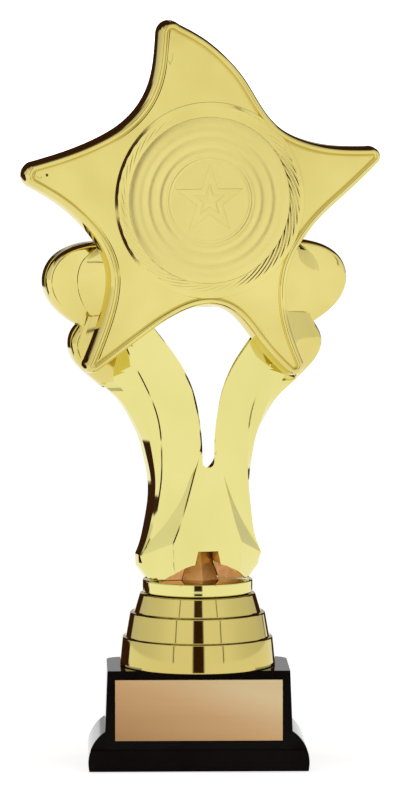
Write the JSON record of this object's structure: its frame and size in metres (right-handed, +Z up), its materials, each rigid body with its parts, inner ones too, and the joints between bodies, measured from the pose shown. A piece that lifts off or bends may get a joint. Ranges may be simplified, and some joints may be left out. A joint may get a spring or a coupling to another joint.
{
  "type": "star trophy",
  "caption": "Gold star trophy: a curved star with a round rope-framed medallion on a split scroll stem, stepped round riser and a black flared plinth with a plain plate.",
  "frame": {"origin": "on the tie rod's axis, in the plane the plinth's pad stands on", "axes": "+Z up along the tie rod, -Y towards the plinth's front with the plate, +X to the plate's right as seen from the front; at rest the figure is turned 13 degrees about +Z from the plinth's front"},
  "size_m": [0.1093, 0.0515, 0.227],
  "materials": {
    "gold_figure": "vacuum-metallised pale gold, mirror bright",
    "gold_insert": "stamped and anodised pale gold, satin",
    "gold_riser": "vacuum-metallised gold, slightly olive, bright",
    "plate_metal": "brushed, copper-gold anodised",
    "plinth_black": "moulded black, polished",
    "steel_zinc": "zinc plated",
    "ballast_iron": "as cast",
    "cover_board": "pressed fibre board, matt brown",
    "felt_pad": "dark felt",
    "glue_tape": "double-sided foam tape, off-white"
  },
  "bodies": {
    "base": {"base_pad": "felt_pad", "base_cover": "cover_board", "ballast_block": "ballast_iron", "base_shell": "plinth_black", "plate_tape": "glue_tape", "engraving_plate": "plate_metal", "lower_washer": "steel_zinc", "riser_shell": "gold_riser"},
    "figure": {"lock_washer": "steel_zinc", "lower_nut": "steel_zinc", "tie_rod": "steel_zinc", "collar": "gold_riser", "upper_washer": "steel_zinc", "upper_nut": "steel_zinc", "nut_cap": "gold_figure", "stem_front": "gold_figure", "stem_rear": "gold_figure", "star_front": "gold_figure", "star_back": "gold_figure", "insert_pad": "glue_tape", "insert_disc": "gold_insert", "rope_ring": "gold_figure"}
  },
  "joints": [
    {"name": "figure_swivel", "type": "hinge", "parent": "base", "child": "figure", "pos_m": [0, 0, 0.053], "axis": [0, 0, 1], "continuous": true}
  ]
}
